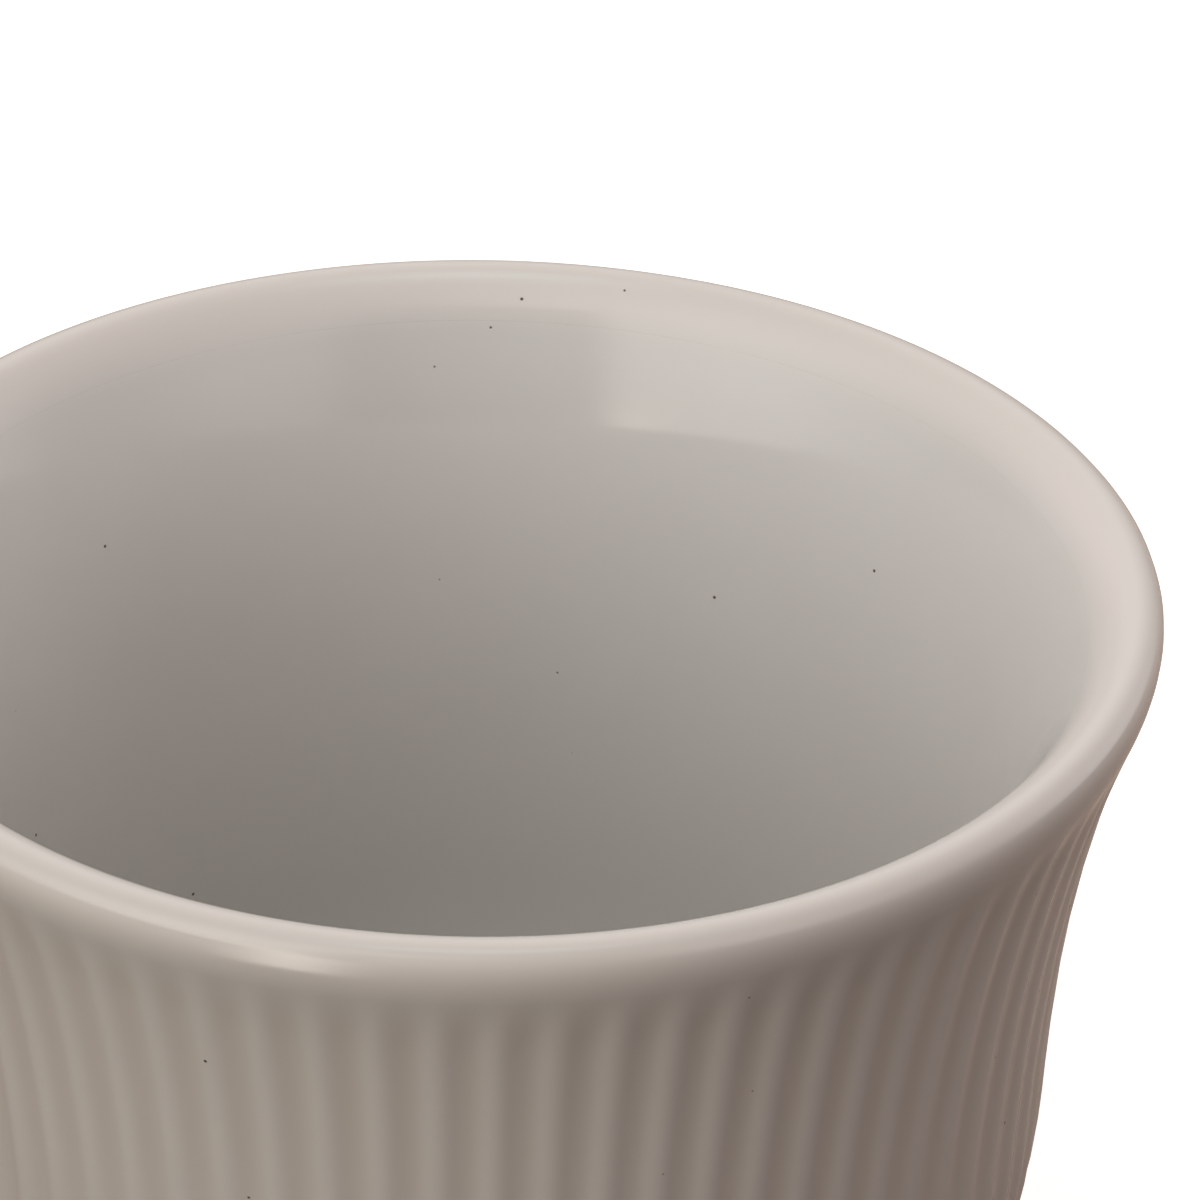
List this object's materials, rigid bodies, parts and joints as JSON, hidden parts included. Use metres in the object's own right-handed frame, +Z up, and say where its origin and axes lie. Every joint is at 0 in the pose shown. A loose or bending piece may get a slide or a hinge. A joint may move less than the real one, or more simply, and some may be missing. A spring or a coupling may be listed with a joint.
{
  "type": "tasting cup",
  "caption": "Small handleless porcelain tasting cup with a rounded flared lip, fine vertical ribs round the outside, a full belly and a bare foot ring.",
  "frame": {"origin": "on the table, under the middle of the foot ring", "axes": "+Z up along the cup's axis, -Y towards the viewer of the picture, with a rib on -Y"},
  "size_m": [0.08, 0.08, 0.06],
  "materials": {
    "fired_porcelain": "bare fired porcelain, dull and smooth, seen only under the foot ring",
    "clear_glaze": "glossy clear glaze over white porcelain"
  },
  "bodies": {
    "root": {"porcelain_body": "fired_porcelain", "liner_glaze": "clear_glaze", "outer_glaze": "clear_glaze", "foot_recess_glaze": "clear_glaze"}
  },
  "joints": []
}
